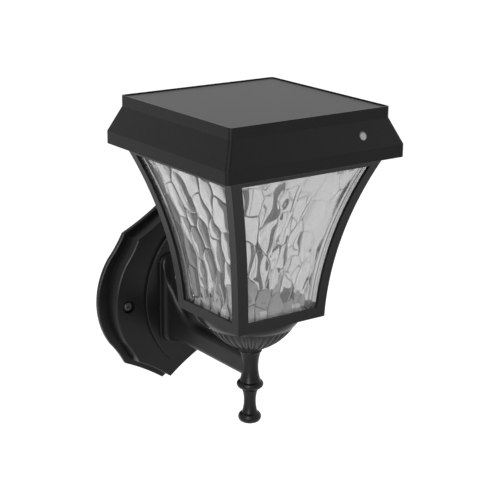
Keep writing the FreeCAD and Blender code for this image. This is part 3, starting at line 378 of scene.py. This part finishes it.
def pane_relief(seed, uu, zz, from_side, plain_side, lined, unlined):
    """The same fields over a pane, with a plain strip between two grooved lines along one side; the
    lines carry painted shade.
    """
    far = ((1 + plain_side * uu) / 2 - lined_until).clip(0.0, lined_fade) / lined_fade
    line_share = lined + (unlined - lined) * far
    depth, furrow_and_painted_shade, clear = ripple_relief(seed, uu * waist_half, zz - frame_foot, line_share)
    rippled = ((from_side - flat_margin) / margin_blend).clip(0, 1)
    lines = sum(np.exp(-((from_side - place) / margin_half) ** 2) for place in margin_lines)
    return (rippled * depth + margin_groove * lines, np.maximum(rippled * furrow_and_painted_shade, lines),
            rippled * clear)


def sheet_faces(rows, columns):
    """Faces of a sheet with a grid of squares in front and one strip of plain faces behind. The
    points are the grid's, row by row, and then the strip's, two to a row."""
    width = columns + 1
    inner = (rows + 1) * width
    faces = [(a, a + 1, a + 1 + width, a + width)
             for a in (r * width + c for r in range(rows) for c in range(columns))]
    faces += [(a + 1, a, a + 2, a + 3) for a in range(inner, inner + 2 * rows, 2)]
    for r in range(rows):
        a = inner + 2 * r
        faces.append((r * width, (r + 1) * width, a + 2, a))
        faces.append(((r + 1) * width - 1, a + 1, a + 3, (r + 2) * width - 1))
    last = inner + 2 * rows
    faces.append((inner, inner + 1, *range(columns, -1, -1)))
    faces.append((last + 1, last, *range(rows * width, rows * width + width)))
    return faces


def pane_piece(name, turn, seed, plain_side, lined, unlined):
    """One bent pane: rippled outer face, plain inner face, cut edges."""
    columns = int(2 * (flare_half(pane_high.z) - pane_side_inset) / pane_step)
    rows = int((pane_high.z - pane_low.z) / pane_step)
    z = np.linspace(pane_low.z, pane_high.z, rows + 1)
    zz, uu = np.meshgrid(z, np.linspace(-1, 1, columns + 1), indexing="ij")
    half = flare_half(zz)
    xx = uu * (half - pane_side_inset)
    from_side = half - pane_side_inset - plain_side * xx
    depth, furrow_and_painted_shade, clear = pane_relief(seed, uu, zz, from_side, plain_side, lined, unlined)
    yy = -(half - pane_outer_inset - depth)

    points = [Vector(p) for p in zip(xx.ravel(), yy.ravel(), zz.ravel())]
    outer = len(points)
    for level in z:
        h = flare_half(level)
        for side in (-1, 1):
            points.append(Vector((side * (h - pane_side_inset), -(h - pane_outer_inset - pane_thickness),
                                  level)))
    place = Matrix.Translation((0, axis_y, 0)) @ Matrix.Rotation(math.pi / 2 * turn, 4, "Z")
    piece = mesh_object(name, [place @ p for p in points], sheet_faces(rows, columns))
    piece.data.materials.append(water_glass)
    # Both fields go to the glass's colour: painted shade along the furrows, painted glints beside them.
    for key, field in (("furrow_and_painted_shade", furrow_and_painted_shade), ("clear", clear)):
        values = np.zeros(len(points))
        values[:outer] = field.ravel()
        piece.data.attributes.new(key, "FLOAT", "POINT").data.foreach_set("value", values)
    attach(piece, "lantern")
    return piece


# ================================================================ assembly

coat = coat_material("satin_coat", value=0.004, roughness=0.33, specular=0.15, grain=0.0002)
plastic = coat_material("satin_plastic", value=0.004, roughness=0.28, specular=0.12, grain=0.0003)
# Glass of 0.66 with painted shade of 0.01 along the furrows and painted glints of 1.0 beside them.
water_glass = water_glass_material(body=0.66, furrow_and_painted_shade=0.01, clear=1.0)
solar_cover = panel_material()
steel = plain_material("plated_steel", (0.55, 0.56, 0.57), 0.32, metallic=1.0)
black_steel = plain_material("black_screws", (0.03, 0.03, 0.03), 0.35, metallic=0.3)
rubber = plain_material("rubber", (0.03, 0.03, 0.03), 0.7)
opal = plain_material("opal", (0.88, 0.88, 0.86), 0.35)
lens = lens_material(value=0.21, face_share=0.78)
board = plain_material("circuit_board", (0.03, 0.18, 0.07), 0.4)
white_board = plain_material("lamp_board", (0.85, 0.85, 0.83), 0.4)
white_paint = plain_material("white_painted_sheet", (0.86, 0.86, 0.85), 0.30)
parts = plain_material("components", (0.05, 0.05, 0.05), 0.4)
phosphor = plain_material("led_phosphor", (0.92, 0.80, 0.30), 0.4)
cell_blue = plain_material("cell_sleeve", (0.05, 0.22, 0.42), 0.35)
silicon = plain_material("solar_cells", (0.02, 0.025, 0.05), 0.3)
button_rubber = plain_material("button_rubber", (0.08, 0.08, 0.08), 0.6)
red_lead = plain_material("lead_insulation", (0.35, 0.03, 0.03), 0.5)

finishes = (
    (coat, ("wall_plate", "arm", "finial", "fluted_bowl", "lantern_frame")),
    (plastic, ("cap_shell", "cap_tray", "battery_holder", "switch_body", "switch_plunger",
               "solar_backsheet")),
    (steel, ("mounting_bracket", "arm_screws", "tie_rod", "tie_washer", "tie_nut", "cap_screws",
             "station_screws", "control_screws", "led_screws", "diffuser_screws",
             "battery_contacts")),
    (black_steel, ("plate_screws",)),
    (white_paint, ("floor_reflector", "pane_clips")),
    (rubber, ("cap_gasket", "panel_seal")),
    (button_rubber, ("mode_button",)),
    (solar_cover, ("solar_glass",)),
    (silicon, ("solar_cells",)),
    (lens, ("sensor_lens",)),
    (parts, ("sensor_eye", "control_parts")),
    (board, ("sensor_board", "switch_board", "control_board")),
    (white_board, ("led_board",)),
    (phosphor, ("led_chips",)),
    (opal, ("led_diffuser",)),
    (cell_blue, ("battery_cell",)),
    (red_lead, ("leads",)),
    (water_glass, ("pane_front", "pane_right", "pane_back", "pane_left")),
)
for material, names in finishes:
    for node in names:
        dress(node, material)

for turn, (side, plain_side, lined, unlined) in enumerate(pane_plan):
    sheet = pane_piece("water_glass_" + side, turn, ripple_seed + turn, plain_side, lined, unlined)
    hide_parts("pane_" + side)


# ================================================================ floor, light and camera

def floor():
    """Plain pale floor under the lantern."""
    z = min(plate_low.z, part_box("finial")[0].z) - floor_drop
    corners = [(x * floor_half, y * floor_half, z) for x, y in ((-1, -1), (1, -1), (1, 1), (-1, 1))]
    piece = mesh_object("floor", corners, [(0, 1, 2, 3)])
    g = Graph("floor")
    g.set(Base_Color=grey(0.90), Roughness=0.9)
    glow = g.ramp(seen_rays(g.tree), 0.0, 1.0, 0.0, floor_glow)
    lit = g.add("ShaderNodeEmission", {"Color": grey(1.0), "Strength": glow})
    both = g.add("ShaderNodeAddShader", {0: g.shader.outputs[0], 1: lit.outputs[0]})
    g.tree.links.new(both.outputs[0], g.tree.nodes["Material Output"].inputs["Surface"])
    piece.data.materials.append(g.material)


def studio_world():
    """Even world: white where it is seen, softer as light."""
    world = bpy.data.worlds.new("studio")
    bpy.context.scene.world = world
    world.use_nodes = True
    tree = world.node_tree
    background = tree.nodes["Background"]
    level = tree.nodes.new("ShaderNodeMapRange")
    level.inputs["To Min"].default_value = world_level
    level.inputs["To Max"].default_value = 1.0
    tree.links.new(seen_rays(tree), level.inputs["Value"])
    background.inputs["Color"].default_value = grey(1.0)
    tree.links.new(level.outputs["Result"], background.inputs["Strength"])


def soft_light(name, offset, size, power):
    """Square area lamp that points at the frame's middle."""
    lamp = bpy.data.lights.new(name, "AREA")
    lamp.shape = "SQUARE"
    lamp.size = size
    lamp.energy = power
    obj = add_object(name, lamp)
    obj.location = middle + Vector(offset)
    obj.rotation_euler = (middle - obj.location).to_track_quat("-Z", "Y").to_euler()


def camera():
    """Camera at the photograph's place."""
    data = bpy.data.cameras.new("camera")
    data.lens = camera_lens
    data.sensor_width = camera_sensor
    data.clip_start = 0.01
    back = Vector((math.sin(camera_azimuth) * math.cos(camera_elevation),
                   -math.cos(camera_azimuth) * math.cos(camera_elevation),
                   math.sin(camera_elevation)))
    level_right = Vector((math.cos(camera_azimuth), math.sin(camera_azimuth), 0))
    level_up = back.cross(level_right)
    right = math.cos(camera_roll) * level_right + math.sin(camera_roll) * level_up
    up = -math.sin(camera_roll) * level_right + math.cos(camera_roll) * level_up
    place = Vector((0, axis_y, roof_high.z)) + camera_place
    obj = add_object("camera", data)
    obj.matrix_world = (Matrix.Translation(place)
                        @ Matrix((right, up, back)).transposed().to_4x4())
    bpy.context.scene.camera = obj


floor()
studio_world()
for lamp_plan in lamps:
    soft_light(*lamp_plan)
camera()

bpy.context.scene.view_settings.view_transform = "Standard"
